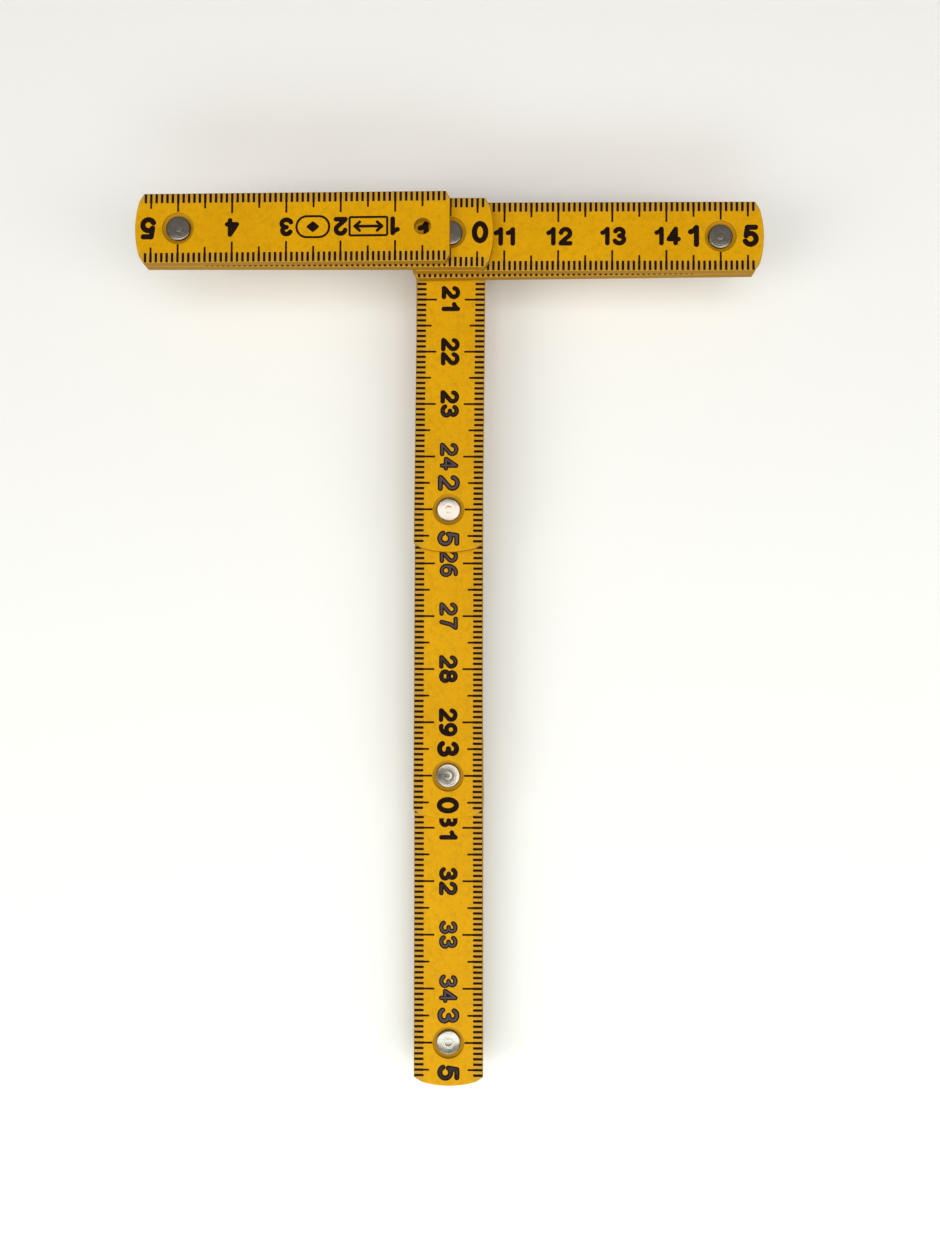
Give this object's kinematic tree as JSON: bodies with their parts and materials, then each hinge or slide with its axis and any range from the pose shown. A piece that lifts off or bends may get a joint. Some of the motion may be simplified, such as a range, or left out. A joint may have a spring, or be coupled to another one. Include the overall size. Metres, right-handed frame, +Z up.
{
  "type": "folding rule",
  "caption": "Miniature plastic folding rule: flat graduated blades on rivets, each a layer below the last, set out as a letter T, with a key-ring hole at the zero end.",
  "frame": {"origin": "middle of the set-out rule's box, on the plane of the lowest blade's underside, which lies on the table", "axes": "+Z up along every rivet, through the stack of blades; +Y from the foot of the T's stem to its arms; +X along the right arm"},
  "size_m": [0.116, 0.166, 0.0173],
  "materials": {
    "blade_plastic": "fine-grained satin yellow moulding",
    "print": "glossy black hot-stamped ink",
    "rivet_metal": "orbitally formed, faintly ringed",
    "washer_steel": "bright spring steel"
  },
  "bodies": {
    "link_01": {"blade_01": "blade_plastic", "rivet_01": "rivet_metal", "spring_washer_01": "washer_steel"},
    "link_02": {"blade_02": "blade_plastic", "rivet_02": "rivet_metal", "spring_washer_02": "washer_steel"},
    "link_03": {"blade_03": "blade_plastic", "rivet_03": "rivet_metal", "spring_washer_03": "washer_steel"},
    "link_04": {"blade_04": "blade_plastic", "rivet_04": "rivet_metal", "spring_washer_04": "washer_steel"},
    "link_05": {"blade_05": "blade_plastic", "rivet_05": "rivet_metal", "spring_washer_05": "washer_steel"},
    "link_06": {"blade_06": "blade_plastic", "rivet_06": "rivet_metal", "spring_washer_06": "washer_steel"},
    "link_07": {"blade_07": "blade_plastic", "rivet_07": "rivet_metal", "spring_washer_07": "washer_steel"},
    "link_08": {"blade_08": "blade_plastic", "rivet_08": "rivet_metal", "spring_washer_08": "washer_steel"},
    "link_09": {"blade_09": "blade_plastic", "rivet_09": "rivet_metal", "spring_washer_09": "washer_steel"},
    "link_10": {"blade_10": "blade_plastic"}
  },
  "joints": [
    {"name": "pivot_45cm", "type": "hinge", "parent": "link_10", "child": "link_09", "pos_m": [-0.00087, 0.025, 0.00168], "axis": [0, 0, 1], "range_deg": [-180.5, 0]},
    {"name": "pivot_40cm", "type": "hinge", "parent": "link_09", "child": "link_08", "pos_m": [-0.00044, -0.025, 0.00343], "axis": [0, 0, 1], "range_deg": [-179.5, 0.5]},
    {"name": "pivot_35cm", "type": "hinge", "parent": "link_08", "child": "link_07", "pos_m": [-0.00044, -0.075, 0.00518], "axis": [0, 0, 1], "range_deg": [-0.1, 179.9]},
    {"name": "pivot_30cm", "type": "hinge", "parent": "link_07", "child": "link_06", "pos_m": [-0.00052, -0.025, 0.00693], "axis": [0, 0, 1], "range_deg": [-179.8, 0.2]},
    {"name": "pivot_25cm", "type": "hinge", "parent": "link_06", "child": "link_05", "pos_m": [-0.00044, 0.025, 0.00868], "axis": [0, 0, 1], "range_deg": [-179.6, 0.4]},
    {"name": "pivot_20cm", "type": "hinge", "parent": "link_05", "child": "link_04", "pos_m": [0, 0.075, 0.01043], "axis": [0, 0, 1], "range_deg": [-90.7, 89.3]},
    {"name": "pivot_15cm", "type": "hinge", "parent": "link_04", "child": "link_03", "pos_m": [0.05, 0.07517, 0.01218], "axis": [0, 0, 1], "range_deg": [0, 180.6]},
    {"name": "pivot_10cm", "type": "hinge", "parent": "link_03", "child": "link_02", "pos_m": [0, 0.07552, 0.01393], "axis": [0, 0, 1], "range_deg": [-179.9, 0.1]},
    {"name": "pivot_05cm", "type": "hinge", "parent": "link_02", "child": "link_01", "pos_m": [-0.05, 0.07596, 0.01568], "axis": [0, 0, 1], "range_deg": [-0.5, 179.5]}
  ]
}
